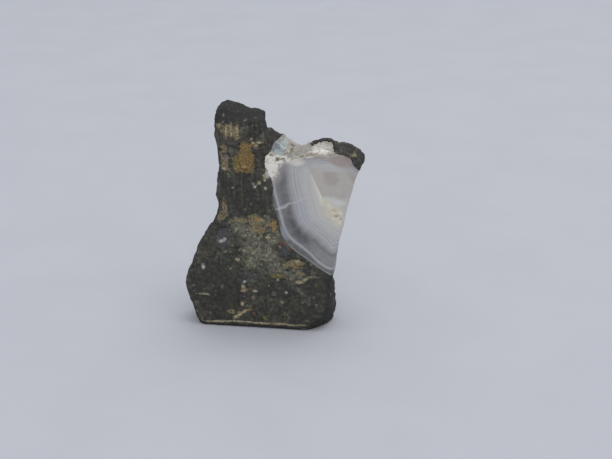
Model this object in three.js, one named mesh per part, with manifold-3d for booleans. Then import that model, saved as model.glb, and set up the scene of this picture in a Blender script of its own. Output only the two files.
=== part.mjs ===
// A hand specimen of banded agate in andesite, in millimetres, +Z up, front face towards -Y.
// A block of dark volcanic rock was sawn flat in front and underneath and broken everywhere else.
// The saw passed through an agate nodule, so the front shows its bands, a crust of white quartz along
// its upper wall, and a remnant of the rock that roofed the cavity. The origin is at the middle of the
// foot, so the specimen stands on Z = 0.
import * as THREE from "three";
import { ImprovedNoise } from "three/addons/math/ImprovedNoise.js";
import { TessellateModifier } from "three/addons/modifiers/TessellateModifier.js";
import { mergeVertices } from "three/addons/utils/BufferGeometryUtils.js";
import Module from "manifold-3d";

const wasm = await Module();
wasm.setup();

// Driving dimensions
const SEAM = 0.3; // gap between two minerals that touch
const NODULE_DEPTH = 27; // how far the cavity reached behind the front face
const CRUST_DIP = 0.4; // how far the crust's underside drops for each millimetre of depth
const BELOW_FOOT = -1.5; // the block is formed to this level, then sawn at Z = 0
const AHEAD_OF_FRONT = -1.5; // it is formed from this depth, then sawn at Y = 0
const FORM_DEPTH = 19; // and to this depth, before the fractures take the back off

// Relief of the broken surfaces
const LEDGE_CELL = 5.5; // width of one small facet
const LEDGE_STEP = 0.55; // how far one facet stands above the next
const LUMP_SIZE = 3.0;
const LUMP_RELIEF = 0.4;
const ROCK_MESH = 2.8; // longest triangle side before the relief is given
const AGATE_MESH = 3.4;
const CRUST_MESH = 1.8;

// Clockwise round the block as seen from the front, from the left end of the foot: where the outline
// is widest [x, z], how deep behind the front that is, and how far inside it the front face ends.
const OUTLINE = [
  [-16.6, BELOW_FOOT, 1.7, 2.9],
  [-18.1, 1.2, 2.0, 1.5],
  [-19.9, 6.9, 2.5, 1.3],
  [-20.9, 9.2, 3.0, 1.4],
  [-21.3, 11.4, 3.0, 1.4],
  [-20.8, 13.5, 3.0, 1.3],
  [-18.2, 19.8, 3.0, 1.1],
  [-17.0, 23.0, 2.5, 1.0],
  [-15.8, 25.2, 2.5, 1.0],
  [-14.4, 27.7, 3.0, 1.0],
  [-13.0, 29.4, 3.0, 1.0],
  [-12.1, 31.5, 3.0, 1.0],
  [-11.5, 35.3, 3.0, 0.9],
  [-12.1, 36.9, 3.0, 1.0],
  [-11.9, 39.2, 3.0, 1.0],
  [-11.3, 42.5, 3.0, 0.9],
  [-10.7, 45.8, 3.0, 0.9],
  [-11.2, 51.7, 3.0, 1.1],
  [-11.8, 53.9, 3.5, 1.4],
  [-12.0, 55.9, 4.0, 1.9],
  [-12.0, 57.7, 5.0, 2.7],
  [-12.0, 59.6, 6.0, 4.0],
  [-10.8, 60.8, 6.5, 4.3],
  [-8.9, 61.4, 7.0, 4.3],
  [-7.5, 61.1, 7.0, 3.8],
  [-5.6, 60.5, 6.5, 2.8],
  [-3.2, 59.8, 6.0, 1.7],
  [-0.8, 59.4, 6.0, 1.0],
  [0.5, 59.0, 5.5, 0.7],
  [1.1, 58.0, 5.0, 0.5],
  [1.6, 55.2, 4.0, 0.4],
  [2.3, 55.0, 4.5, 0.9],
  [3.1, 54.3, 5.0, 0.9],
  [5.5, 53.0, 5.0, 0.9],
  [8.5, 50.9, 5.0, 1.0],
  [10.6, 50.3, 5.0, 1.1],
  [12.1, 50.5, 6.0, 1.0],
  [13.2, 51.1, 7.0, 0.9],
  [14.7, 51.3, 7.0, 0.8],
  [16.0, 51.6, 7.0, 0.8],
  [17.6, 51.4, 7.0, 0.9],
  [18.9, 51.0, 6.5, 0.8],
  [20.0, 50.9, 5.5, 0.6],
  [21.4, 51.6, 4.5, 0.7],
  [22.7, 51.4, 4.5, 0.9],
  [24.0, 50.8, 4.5, 0.9],
  [25.3, 50.2, 4.5, 0.8],
  [26.6, 49.2, 4.0, 0.7],
  [26.7, 48.5, 3.5, 0.6],
  [26.1, 47.1, 3.0, 0.4],
  [25.5, 46.2, 2.0, 0.3],
  [24.6, 43.6, 1.0, 0.3],
  [22.7, 35.9, 1.0, 0.3],
  [21.8, 31.4, 1.0, 0.3],
  [20.8, 26.9, 1.0, 0.4],
  [20.1, 22.0, 1.2, 0.5],
  [19.7, 18.6, 1.5, 0.5],
  [18.9, 15.6, 2.0, 0.8],
  [18.5, 12.4, 4.0, 1.8],
  [18.7, 8.6, 5.0, 2.6],
  [18.7, 5.4, 6.0, 3.2],
  [18.4, 3.1, 7.0, 3.6],
  [17.9, -0.8, 8.6, 5.4],
  [15.4, -1.2, 4.9, 4.6],
  [12.2, BELOW_FOOT, 1.7, 3.0],
  [-2.0, BELOW_FOOT, 1.7, 2.8],
];
const HEART = [2.7, 31.6]; // every point of the outline can be seen from here

// How far the broken sides draw in behind the outline by FORM_DEPTH, by compass angle about the heart
// in degrees (0 = right, 90 = up). The top falls away to the back, so the outline is its crest.
const DRAW_IN = [
  [-125, 2.0],
  [-90, 0.8],
  [-62, 2.2],
  [-48, 4.4],
  [-20, 6.4],
  [5, 5.6],
  [25, 4.6],
  [42, 4.8],
  [58, 6.0],
  [72, 7.6],
  [88, 9.5],
  [105, 8.0],
  [118, 6.0],
  [135, 4.6],
  [160, 3.2],
  [185, 5.0],
  [210, 7.0],
  [222, 5.0],
];

// The large fractures that shaped the back and its corners: a point [x, y, z] on each, and the
// direction [x, y, z] in which the rock beyond it has gone.
const FRACTURES = [
  [[2, 17.3, 18], [0.05, 1, -0.1]],
  [[-2, 16.4, 46], [-0.12, 1, 0.16]],
  [[17, 15.2, 38], [0.3, 1, 0.08]],
  [[-8, 15.8, 24], [-0.32, 1, 0.1]],
  [[2, 15.6, 5], [0.1, 0.9, -0.42]],
  [[-16.5, 11.8, 10], [-0.8, 0.7, -0.22]],
  [[-9.6, 11.6, 44], [-0.55, 0.8, 0.1]],
  [[-6, 12.6, 56.4], [-0.1, 0.85, 0.5]],
  [[21, 11.6, 36], [0.72, 0.7, -0.1]],
  [[21.5, 11.2, 47], [0.5, 0.7, 0.35]],
  [[11, 13.6, 47], [0.05, 0.9, 0.3]],
  [[15, 13.2, 9], [0.5, 0.85, -0.1]],
  [[15.2, 14.2, 20], [0.35, 0.93, -0.05]],
  [[-15, 12.5, 20], [-0.55, 0.8, 0.1]],
  [[2, 14.6, 55], [0.35, 0.9, 0.2]],
];

// The column's right flank ends in a step above the shoulder: the step's inner corner, and how far in
// degrees its wall turns to the left and its floor tips down towards the back.
const STEP_CORNER = [1.3, 3.7, 55.3];
const STEP_TURN = 17;
const STEP_TIP = 24;

// The cavity's wall in the plane of the front face, clockwise from where it leaves the block at the
// lower right: up beside the host rock, out through the top, and down to the right under the roof rock.
const CAVITY_WALL = [
  [32.0, 14.0],
  [22.4, 14.9],
  [19.2, 16.4],
  [16.3, 18.1],
  [12.9, 20.6],
  [9.7, 22.8],
  [8.1, 24.1],
  [6.8, 25.5],
  [5.8, 27.3],
  [5.2, 29.2],
  [4.9, 31.0],
  [4.2, 33.9],
  [3.5, 35.4],
  [3.3, 38.6],
  [3.6, 40.4],
  [3.1, 42.6],
  [1.7, 45.7],
  [1.4, 47.3],
  [1.6, 48.7],
  [3.1, 50.2],
  [3.7, 52.1],
  [5.0, 53.5],
  [6.4, 56.9],
  [10.0, 53.0],
  [12.1, 50.9],
  [13.2, 51.2],
  [14.7, 51.5],
  [16.0, 51.7],
  [17.6, 51.4],
  [19.4, 50.4],
  [20.9, 50.1],
  [22.6, 49.6],
  [23.4, 49.0],
  [23.8, 48.1],
  [24.4, 47.0],
  [25.6, 46.1],
  [30.0, 46.0],
];
const CAVITY_HEART = [22.1, 39.5]; // the cavity narrows towards here behind the front face

// The white crust in the plane of the front face, clockwise from outside the block at the upper left.
// The last stretch is its underside, from the roof rock on the right to the host rock on the left.
const CRUST_OUTLINE = [
  [-4.0, 52.0],
  [2.0, 64.0],
  [20.0, 62.0],
  [23.0, 54.0],
  [19.7, 50.0],
  [18.4, 49.7],
  [15.1, 50.0],
  [12.6, 49.3],
  [10.9, 49.0],
  [8.8, 48.6],
  [7.7, 47.9],
  [6.6, 47.7],
  [5.5, 46.9],
  [4.7, 45.3],
  [3.9, 43.9],
  [2.9, 42.9],
  [1.2, 42.0],
];

const CRUST_HEART = [9.0, 54.0];

// Hollows in the crust where grains dropped out: [x, y, z, radius]
const CRUST_PITS = [
  [4.9, 0.0, 48.3, 0.75],
  [6.3, 0.1, 47.9, 0.55],
  [9.6, 0.6, 49.6, 0.8],
  [8.2, 3.2, 51.0, 0.9],
  [12.9, 3.0, 51.1, 0.7],
  [11.0, 8.5, 49.8, 1.1],
];
// Little open pockets in the middle of the agate
const AGATE_PITS = [
  [20.3, -0.2, 33.6, 0.7],
  [19.2, -0.15, 34.9, 0.5],
];
// Vesicles and dropped grains in the rock's front face
const ROCK_PITS = [
  [-9.6, -0.15, 24.6, 0.8],
  [-5.3, -0.2, 9.7, 0.7],
  [7.1, -0.25, 17.6, 0.8],
  [-13.0, -0.1, 16.6, 0.5],
  [-1.6, -0.2, 49.5, 0.8],
  [12.0, -0.2, 12.5, 0.6],
];

const noise = new ImprovedNoise();

function randomFrom(seed) {
  let state = seed;
  return () => {
    state = (state + 0x6d2b79f5) | 0;
    let mixed = Math.imul(state ^ (state >>> 15), 1 | state);
    mixed = (mixed + Math.imul(mixed ^ (mixed >>> 7), 61 | mixed)) ^ mixed;
    return ((mixed ^ (mixed >>> 14)) >>> 0) / 4294967296;
  };
}

// Straight-line value at angle t of a table of [angle, ...values] that closes after 360 degrees.
function aroundTable(table, t) {
  const first = table[0];
  const wrapped = [...table, [first[0] + 360, ...first.slice(1)]];
  const angle = first[0] + ((((t - first[0]) % 360) + 360) % 360);
  const next = wrapped.findIndex((row, i) => i > 0 && row[0] >= angle);
  const [low, high] = [wrapped[next - 1], wrapped[next]];
  const share = (angle - low[0]) / (high[0] - low[0]);
  return low.slice(1).map((value, k) => value + (high[k + 1] - value) * share);
}

// The fracture facets: space is shared out between scattered points, and each owns a tilted plane.
function makeLedges(seed, cell, step) {
  const random = randomFrom(seed);
  const cells = [];
  for (let x = -28; x < 34; x += cell)
    for (let y = -4; y < 24; y += cell)
      for (let z = -4; z < 66; z += cell)
        cells.push({
          at: new THREE.Vector3(x + random() * cell, y + random() * cell, z + random() * cell),
          tilt: new THREE.Vector3(random() - 0.5, random() - 0.5, random() - 0.5),
          height: (random() - 0.5) * 2 * step,
        });
  return (p) => {
    let nearest = cells[0];
    let reach = Infinity;
    for (const c of cells) {
      const away = c.at.distanceToSquared(p);
      if (away < reach) [nearest, reach] = [c, away];
    }
    return nearest.height + nearest.tilt.dot(p.clone().sub(nearest.at)) * (step / cell) * 2.4;
  };
}

// Perlin noise in two octaves, about -1 to 1, with lumps of the given size.
function lumps(p, size) {
  const [x, y, z] = [p.x / size, p.y / size, p.z / size];
  return noise.noise(x, y, z) + 0.5 * noise.noise(2.1 * x + 7, 2.1 * y, 2.1 * z);
}

const smooth = (low, high, value) => THREE.MathUtils.smoothstep(value, low, high);

// Joins two rings of vertex numbers with triangles, and closes a ring to a middle point.
function stitch(faces, ring, next) {
  ring.forEach((a, i) => {
    const j = (i + 1) % ring.length;
    faces.push(a, ring[j], next[i], ring[j], next[j], next[i]);
  });
}

function close(points, faces, ring, middle, front) {
  points.push(middle);
  const centre = points.length - 1;
  ring.forEach((a, i) => {
    const b = ring[(i + 1) % ring.length];
    faces.push(...(front ? [centre, b, a] : [centre, a, b]));
  });
}

function geometryOf(points, faces) {
  const geometry = new THREE.BufferGeometry();
  geometry.setAttribute("position", new THREE.Float32BufferAttribute(points.flat(), 3));
  geometry.setIndex(faces);
  return geometry;
}

// The unsawn block before its fractures, as rings of points from front to back.
function blockForm() {
  const points = [];
  const faces = [];
  const addRing = (place) =>
    OUTLINE.map((row) => {
      const [inset, depth] = place(row);
      const [x, z] = row;
      const share = inset / Math.hypot(HEART[0] - x, HEART[1] - z);
      points.push([x + (HEART[0] - x) * share, depth, z + (HEART[1] - z) * share]);
      return points.length - 1;
    });
  const drawIn = ([x, z]) => {
    const angle = THREE.MathUtils.radToDeg(Math.atan2(z - HEART[1], x - HEART[0]));
    return aroundTable(DRAW_IN, angle)[0];
  };

  const rings = [
    addRing(([, , rim, lip]) => [lip * (1 - AHEAD_OF_FRONT / rim), AHEAD_OF_FRONT]),
    addRing(([, , , lip]) => [lip, 0]),
    addRing(([, , rim, lip]) => [lip * 0.36, rim * 0.5]),
    addRing(([, , rim]) => [0, rim]),
  ];
  for (const share of [0.2, 0.5, 1])
    rings.push(
      addRing((row) => [drawIn(row) * share ** 1.15, row[2] + (FORM_DEPTH - row[2]) * share]),
    );
  for (let k = 1; k < rings.length; k++) stitch(faces, rings[k - 1], rings[k]);
  close(points, faces, rings[0], [HEART[0], AHEAD_OF_FRONT, HEART[1]], true);
  close(points, faces, rings.at(-1), [HEART[0], FORM_DEPTH, HEART[1]], false);
  return solidOf(geometryOf(points, faces));
}

// Everything on the far side of a plane, as a large box.
function beyond(point, direction) {
  const box = new THREE.BoxGeometry(160, 160, 80);
  box.translate(0, 0, 40);
  const away = new THREE.Vector3(...direction).normalize();
  box.applyQuaternion(new THREE.Quaternion().setFromUnitVectors(new THREE.Vector3(0, 0, 1), away));
  box.translate(...point);
  return solidOf(box);
}

// The rock that is missing from the step beside the column.
function stepBlock() {
  const box = new THREE.BoxGeometry(24, 40, 30);
  box.translate(12, 20, 15);
  box.rotateX(-THREE.MathUtils.degToRad(STEP_TIP));
  box.rotateZ(THREE.MathUtils.degToRad(STEP_TURN));
  box.translate(...STEP_CORNER);
  return solidOf(box);
}

// The form divided into triangles with sides up to the given length, each of whose corners then
// stands out by relief(corner) square to the surface.
function roughened(solid, side, relief) {
  const fine = new TessellateModifier(side, 24).modify(geometryFrom(solid).toNonIndexed());
  fine.deleteAttribute("normal");
  const geometry = mergeVertices(fine, 1e-4);
  geometry.computeVertexNormals();
  const position = geometry.getAttribute("position");
  const normal = geometry.getAttribute("normal");
  for (let i = 0; i < position.count; i++) {
    const p = new THREE.Vector3().fromBufferAttribute(position, i);
    p.addScaledVector(new THREE.Vector3().fromBufferAttribute(normal, i), relief(p));
    position.setXYZ(i, p.x, p.y, p.z);
  }
  return solidOf(geometry);
}

function solidOf(geometry) {
  const bare = new THREE.BufferGeometry();
  bare.setAttribute("position", geometry.getAttribute("position"));
  if (geometry.index) bare.setIndex(geometry.index);
  const merged = mergeVertices(bare, 1e-4);
  return new wasm.Manifold(
    new wasm.Mesh({
      numProp: 3,
      vertProperties: merged.getAttribute("position").array,
      triVerts: new Uint32Array(merged.index.array),
    }),
  );
}

function geometryFrom(solid) {
  const { numProp, vertProperties, triVerts } = solid.getMesh();
  const points = [];
  for (let i = 0; i < vertProperties.length; i += numProp)
    points.push([...vertProperties.subarray(i, i + 3)]);
  const geometry = geometryOf(points, [...triVerts]);
  geometry.computeVertexNormals();
  return geometry;
}

// A solid that runs through the block from front to back. At each depth its section is the outline,
// with every corner placed by shape(corner, depth, direction square to the outline there).
function throughSolid(outline, heart, depths, shape) {
  const square = outline.map((_, i) => {
    const [x0, z0] = outline.at(i - 1);
    const [x1, z1] = outline[(i + 1) % outline.length];
    const length = Math.hypot(x1 - x0, z1 - z0);
    return [(z0 - z1) / length, (x1 - x0) / length];
  });
  const points = [];
  const faces = [];
  const rings = depths.map((depth) =>
    outline.map((corner, i) => {
      const [x, z] = shape(corner, depth, square[i]);
      points.push([x, depth, z]);
      return points.length - 1;
    }),
  );
  for (let k = 1; k < rings.length; k++) stitch(faces, rings[k - 1], rings[k]);
  close(points, faces, rings[0], [heart[0], depths[0], heart[1]], true);
  close(points, faces, rings.at(-1), [heart[0], depths.at(-1), heart[1]], false);
  return solidOf(geometryOf(points, faces));
}

// A closed outline with its stretches divided to about the given step.
function divided(outline, step) {
  return outline.flatMap(([x, z], i) => {
    const [nextX, nextZ] = outline[(i + 1) % outline.length];
    const parts = Math.max(1, Math.round(Math.hypot(nextX - x, nextZ - z) / step));
    return Array.from({ length: parts }, (_, k) => [
      x + ((nextX - x) * k) / parts,
      z + ((nextZ - z) * k) / parts,
    ]);
  });
}

// The cavity narrows behind the front face as a rounded hollow does. grow moves its wall outwards.
function cavity(grow) {
  const depths = [-3, 0, 3, 6, 9, 12, 15, 18, 21];
  return throughSolid(divided(CAVITY_WALL, 1.8), CAVITY_HEART, depths, ([x, z], depth, square) => {
    const behind = Math.max(0, depth) / NODULE_DEPTH;
    const narrowing = Math.sqrt(1 - behind * behind);
    const lump = 0.35 * lumps(new THREE.Vector3(x, depth + 9, z), 2.6) * smooth(0, 3, depth);
    const [centreX, centreZ] = CAVITY_HEART;
    return [
      centreX + (x - centreX) * narrowing + (grow + lump) * square[0],
      centreZ + (z - centreZ) * narrowing + (grow + lump) * square[1],
    ];
  });
}

// Where the white crust lies inside the cavity. Its underside drops away behind the front face.
function crustRegion(grow) {
  const depths = [-3, 0, 2, 4.5, 7, 9.5, 12, 15, 21];
  return throughSolid(divided(CRUST_OUTLINE, 1.3), CRUST_HEART, depths, ([x, z], depth, square) => {
    const ragged = 0.3 * lumps(new THREE.Vector3(x, depth, z), 1.7);
    return [
      x + (grow + ragged) * square[0],
      z + (grow + ragged) * square[1] - CRUST_DIP * Math.max(0, depth),
    ];
  });
}

// Low-sided hollows, a little flattened, to cut from a piece.
function pits(list) {
  return list.map(([x, y, z, radius], i) => {
    const form = new THREE.IcosahedronGeometry(radius, 1);
    form.scale(1, 0.8, 0.85 + 0.1 * (i % 3));
    form.rotateY(i);
    form.translate(x, y, z);
    return solidOf(form);
  });
}

const ledges = makeLedges(11, LEDGE_CELL, LEDGE_STEP);
const broadLedges = makeLedges(29, 2 * LEDGE_CELL, 1.4 * LEDGE_STEP);

// The relief is full on the sides and the back, and less near the outline and along the foot.
const exposure = (p) => (0.2 + 0.8 * smooth(6, 11, p.y)) * (0.3 + 0.7 * smooth(0, 5, p.z));

// Broken rock is stepped and lumpy.
function rockRelief(p) {
  return (ledges(p) + broadLedges(p) + LUMP_RELIEF * lumps(p, LUMP_SIZE)) * exposure(p);
}

// Agate breaks in smooth shells.
function agateRelief(p) {
  return (0.6 * broadLedges(p) + 0.25 * lumps(p, 7)) * exposure(p);
}

// The white crust is coarse and sugary everywhere.
function crustRelief(p) {
  return 0.3 * lumps(p, 1.5) + 0.5 * (ledges(p) + broadLedges(p)) * exposure(p);
}

// The front and the foot are sawn after the block has broken.
function sawn(solid) {
  return solid.subtract(beyond([0, 0, 0], [0, -1, 0])).subtract(beyond([0, 0, 0], [0, 0, -1]));
}

function largest(solids, count) {
  return solids.sort((a, b) => b.volume() - a.volume()).slice(0, count);
}

function cutAll(solid, cutters) {
  return cutters.reduce((left, cutter) => left.subtract(cutter), solid);
}

const broken = cutAll(blockForm(), [
  stepBlock(),
  ...FRACTURES.map(([point, direction]) => beyond(point, direction)),
]);
const rockBlock = sawn(roughened(broken, ROCK_MESH, rockRelief));
const agateBlock = sawn(roughened(broken, AGATE_MESH, agateRelief));
const crustBlock = sawn(roughened(broken, CRUST_MESH, crustRelief));

const [hostRock, roofRock] = largest(rockBlock.subtract(cavity(SEAM / 2)).decompose(), 2);
const filling = cavity(-SEAM / 2);
const [agate] = largest(
  agateBlock.intersect(filling).subtract(crustRegion(SEAM / 2)).decompose(),
  1,
);
const [crust] = largest(crustBlock.intersect(filling).intersect(crustRegion(-SEAM / 2)).decompose(), 1);

// A named mesh of one mineral. Colours are sRGB.
function piece(name, solid, colour, roughness) {
  const mesh = new THREE.Mesh(
    geometryFrom(solid),
    new THREE.MeshStandardMaterial({
      color: new THREE.Color().setStyle(colour),
      roughness,
      metalness: 0,
      flatShading: true,
    }),
  );
  mesh.name = name;
  return mesh;
}

const specimen = new THREE.Group();
specimen.name = "agate_in_andesite";
specimen.add(
  piece("andesite_host_rock", cutAll(hostRock, pits(ROCK_PITS)), "rgb(64, 64, 59)", 0.92),
  piece("andesite_roof_remnant", roofRock, "rgb(60, 60, 55)", 0.92),
  piece("banded_agate", cutAll(agate, pits(AGATE_PITS)), "rgb(152, 152, 157)", 0.35),
  piece("white_quartz_crust", cutAll(crust, pits(CRUST_PITS)), "rgb(184, 182, 176)", 0.8),
);

// The origin goes to the middle of the block's plan, at the level of the foot.
const extent = new THREE.Box3().setFromObject(specimen);
const middle = extent.getCenter(new THREE.Vector3());
specimen.position.set(-middle.x, -middle.y, 0);

export default specimen;
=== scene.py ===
import logging
import math
from collections.abc import Mapping, Sequence
from dataclasses import dataclass, field
from enum import Enum
from typing import Any

import bpy
import numpy as np
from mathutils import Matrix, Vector
from mathutils.bvhtree import BVHTree


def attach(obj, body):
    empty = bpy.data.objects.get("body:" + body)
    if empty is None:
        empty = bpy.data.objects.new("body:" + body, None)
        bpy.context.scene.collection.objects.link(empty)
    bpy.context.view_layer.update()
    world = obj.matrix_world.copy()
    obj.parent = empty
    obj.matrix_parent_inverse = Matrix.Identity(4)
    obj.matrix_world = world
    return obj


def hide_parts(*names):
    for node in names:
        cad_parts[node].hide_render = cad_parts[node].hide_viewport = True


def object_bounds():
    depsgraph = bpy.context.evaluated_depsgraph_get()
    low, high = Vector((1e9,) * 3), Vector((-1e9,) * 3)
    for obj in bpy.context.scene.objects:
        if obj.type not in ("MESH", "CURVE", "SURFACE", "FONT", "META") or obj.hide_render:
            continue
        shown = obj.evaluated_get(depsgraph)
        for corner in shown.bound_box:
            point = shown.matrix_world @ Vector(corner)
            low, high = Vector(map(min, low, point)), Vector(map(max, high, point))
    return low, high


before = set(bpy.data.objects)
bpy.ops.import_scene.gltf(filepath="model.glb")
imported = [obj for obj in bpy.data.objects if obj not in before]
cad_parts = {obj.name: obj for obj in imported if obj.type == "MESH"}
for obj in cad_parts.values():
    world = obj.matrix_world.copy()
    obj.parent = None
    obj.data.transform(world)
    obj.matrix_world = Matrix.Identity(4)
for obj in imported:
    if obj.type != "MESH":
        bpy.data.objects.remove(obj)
CAD_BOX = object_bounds()

MM = 0.001
FRONT = CAD_BOX[0].y / MM  # the sawn front face, in millimetres
log = logging.getLogger("agate_in_andesite")

Colour = tuple[float, float, float, float]
Place = tuple[float, float, float]
Point = tuple[float, float]
Socket = bpy.types.NodeSocket

THROUGH = 30.0  # how deep a spot reaches, in millimetres, when it goes right through the stone

# How bright a white card in place of the sawn front would be, in red, green and blue. Colours below
# are written as they look in that light.
FRONT_LIGHT = (0.79, 0.81, 0.865)


def seen(red: int, green: int, blue: int) -> Colour:
    """The surface colour that looks like this sRGB value in the light on the front face.

    Args:
        red: 0 to 255.
        green: 0 to 255.
        blue: 0 to 255.

    Returns:
        A linear colour with alpha 1.
    """
    linear = [((value / 255 + 0.055) / 1.055) ** 2.4 for value in (red, green, blue)]
    lit = [value / light for value, light in zip(linear, FRONT_LIGHT)]
    return (lit[0], lit[1], lit[2], 1.0)


# Building shaders


class Value:
    """A number that varies over a surface. Arithmetic on it adds Math nodes."""

    def __init__(self, tree: "ShaderTree", socket: Socket) -> None:
        """Wraps an output socket of the tree."""
        self.tree = tree
        self.socket = socket

    def _math(self, operation: str, first: Any, second: Any) -> "Value":
        """A Math node of two operands."""
        node = self.tree.add("ShaderNodeMath", {"operation": operation}, {0: first, 1: second})
        return Value(self.tree, node.outputs[0])

    def __add__(self, other: Any) -> "Value":
        """self + other."""
        return self._math("ADD", self, other)

    __radd__ = __add__

    def __sub__(self, other: Any) -> "Value":
        """self - other."""
        return self._math("SUBTRACT", self, other)

    def __rsub__(self, other: Any) -> "Value":
        """other - self."""
        return self._math("SUBTRACT", other, self)

    def __mul__(self, other: Any) -> "Value":
        """self times other."""
        return self._math("MULTIPLY", self, other)

    __rmul__ = __mul__

    def __truediv__(self, other: Any) -> "Value":
        """self over other."""
        return self._math("DIVIDE", self, other)

    def __or__(self, other: Any) -> "Value":
        """The larger of two masks, so that either shows."""
        return self._math("MAXIMUM", self, other)

    def step(self, low: float, high: float) -> "Value":
        """Eases from 0 at low to 1 at high. With low above high it eases from 1 down to 0.

        Args:
            low: where the result is 0.
            high: where the result is 1.

        Returns:
            The eased value, between 0 and 1.
        """
        start, end = (0.0, 1.0) if low < high else (1.0, 0.0)
        node = self.tree.add(
            "ShaderNodeMapRange",
            {"interpolation_type": "SMOOTHSTEP"},
            {0: self, 1: min(low, high), 2: max(low, high), 3: start, 4: end},
        )
        return Value(self.tree, node.outputs[0])


class ShaderTree:
    """The node tree of one new material, with its coordinates in millimetres."""

    def __init__(self, name: str) -> None:
        """Makes an empty material.

        Args:
            name: the material's name.
        """
        self.material = bpy.data.materials.new(name)
        self.material.use_nodes = True
        self.tree = self.material.node_tree
        self.tree.nodes.clear()
        place = self.add("ShaderNodeTexCoord", {}, {}).outputs["Object"]
        self.at = self.vector("MULTIPLY", place, (1 / MM, 1 / MM, 1 / MM))
        parts = self.add("ShaderNodeSeparateXYZ", {}, {0: self.at})
        self.x, self.y, self.z = (Value(self, parts.outputs[i]) for i in range(3))
        self.colour: Any = None  # what has been laid so far

    def add(
        self, kind: str, settings: Mapping[str, Any], sockets: Mapping[str | int, Any]
    ) -> bpy.types.Node:
        """Adds a node.

        Args:
            kind: the node's type.
            settings: its properties, with a ramp's under "stops" as (place, colour) pairs.
            sockets: a number, colour, Value or output socket for each input, by name or number.

        Returns:
            The new node.
        """
        node = self.tree.nodes.new(kind)
        for name, value in settings.items():
            if name == "stops":
                self._set_stops(node.color_ramp, value)
            else:
                setattr(node, name, value)
        for name, value in sockets.items():
            if isinstance(value, Value):
                value = value.socket
            if isinstance(value, Socket):
                self.tree.links.new(value, node.inputs[name])
            else:
                node.inputs[name].default_value = value
        return node

    @staticmethod
    def _set_stops(ramp: bpy.types.ColorRamp, stops: Sequence[tuple[float, Colour]]) -> None:
        """Gives a colour ramp its stops.

        Args:
            ramp: the ramp.
            stops: places from 0 to 1, each with its colour.
        """
        while len(ramp.elements) < len(stops):
            ramp.elements.new(0.5)
        for element, (place, colour) in zip(ramp.elements, stops):
            element.position = place
            element.color = colour

    def vector(self, operation: str, first: Any, second: Any) -> Socket:
        """A Vector Math node's vector output."""
        node = self.add("ShaderNodeVectorMath", {"operation": operation}, {0: first, 1: second})
        return node.outputs["Vector"]

    def mix(self, factor: Any, first: Any, second: Any, blend: str = "MIX") -> Socket:
        """Blends two colours: first where factor is 0, second or the blend of both where it is 1."""
        settings = {"data_type": "RGBA", "blend_type": blend}
        return self.add("ShaderNodeMix", settings, {0: factor, 6: first, 7: second}).outputs[2]

    def lay(self, share: Any, shade: Any, blend: str = "MIX") -> None:
        """Lays a colour over what is there so far, where share is more than 0."""
        self.colour = self.mix(share, self.colour, shade, blend)

    def held(self, attribute: str) -> Value:
        """The value of a mesh attribute."""
        node = self.add("ShaderNodeAttribute", {"attribute_name": attribute}, {})
        return Value(self, node.outputs["Fac"])

    def noise(self, size: float, detail: float = 2.0, at: Any = None, rough: float = 0.5) -> Value:
        """Cloudy noise about 0.5.

        Args:
            size: how wide a cloud is, in millimetres.
            detail: how many finer octaves it has.
            at: the coordinates, if not the object's.
            rough: how strong the finer octaves are.

        Returns:
            The noise, mostly 0.25 to 0.75.
        """
        sockets = {"Vector": at or self.at, "Scale": 1 / size, "Detail": detail, "Roughness": rough}
        return Value(self, self.add("ShaderNodeTexNoise", {}, sockets).outputs[0])

    def cells(self, size: float) -> Value:
        """Distance to the nearest of many scattered points, in cells of that size in millimetres."""
        node = self.add("ShaderNodeTexVoronoi", {}, {"Vector": self.at, "Scale": 1 / size})
        return Value(self, node.outputs[0])

    def cell_numbers(self, size: float, at: Socket) -> tuple[Value, Value, Value]:
        """Random numbers that stay the same over an angular grain.

        Args:
            size: how wide a grain is, in millimetres.
            at: the coordinates.

        Returns:
            Three of them, from 0 to 1.
        """
        node = self.add("ShaderNodeTexVoronoi", {}, {"Vector": at, "Scale": 1 / size})
        parts = self.add("ShaderNodeSeparateXYZ", {}, {0: node.outputs["Color"]}).outputs
        return Value(self, parts[0]), Value(self, parts[1]), Value(self, parts[2])

    def warped(self, size: float, reach: float) -> Socket:
        """The coordinates, pushed about by noise, so that what is drawn on them has a ragged edge.

        Args:
            size: how wide the wobbles are, in millimetres.
            reach: how far they push, in millimetres.

        Returns:
            The coordinates' socket.
        """
        sockets = {"Vector": self.at, "Scale": 1 / size, "Detail": 2.0}
        node = self.add("ShaderNodeTexNoise", {}, sockets)
        push = self.vector("SUBTRACT", node.outputs["Color"], (0.5, 0.5, 0.5))
        push = self.vector("MULTIPLY", push, (2 * reach, 2 * reach, 2 * reach))
        return self.vector("ADD", self.at, push)

    def finish(
        self, rough: Any, height: Value, gloss: float, glow: float = 0.0, reach: Place = (1, 1, 1)
    ) -> None:
        """Ends the material in a Principled shader with the colour laid so far.

        Args:
            rough: roughness, a number or a Value.
            height: how high the surface stands, in millimetres.
            gloss: the specular level.
            glow: the share of the light that spreads below the surface.
            reach: how far red, green and blue light spread there, in half millimetres.
        """
        bump = self.add("ShaderNodeBump", {}, {"Strength": 1.0, "Distance": MM, "Height": height})
        sockets = {"Base Color": self.colour, "Roughness": rough, "Normal": bump.outputs[0]}
        sockets["Specular IOR Level"] = gloss
        if glow:
            sockets["Subsurface Weight"] = glow
            sockets["Subsurface Radius"] = reach
            sockets["Subsurface Scale"] = 0.5 * MM
        shader = self.add("ShaderNodeBsdfPrincipled", {}, sockets)
        end = self.add("ShaderNodeOutputMaterial", {}, {})
        self.tree.links.new(shader.outputs[0], end.inputs["Surface"])


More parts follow.
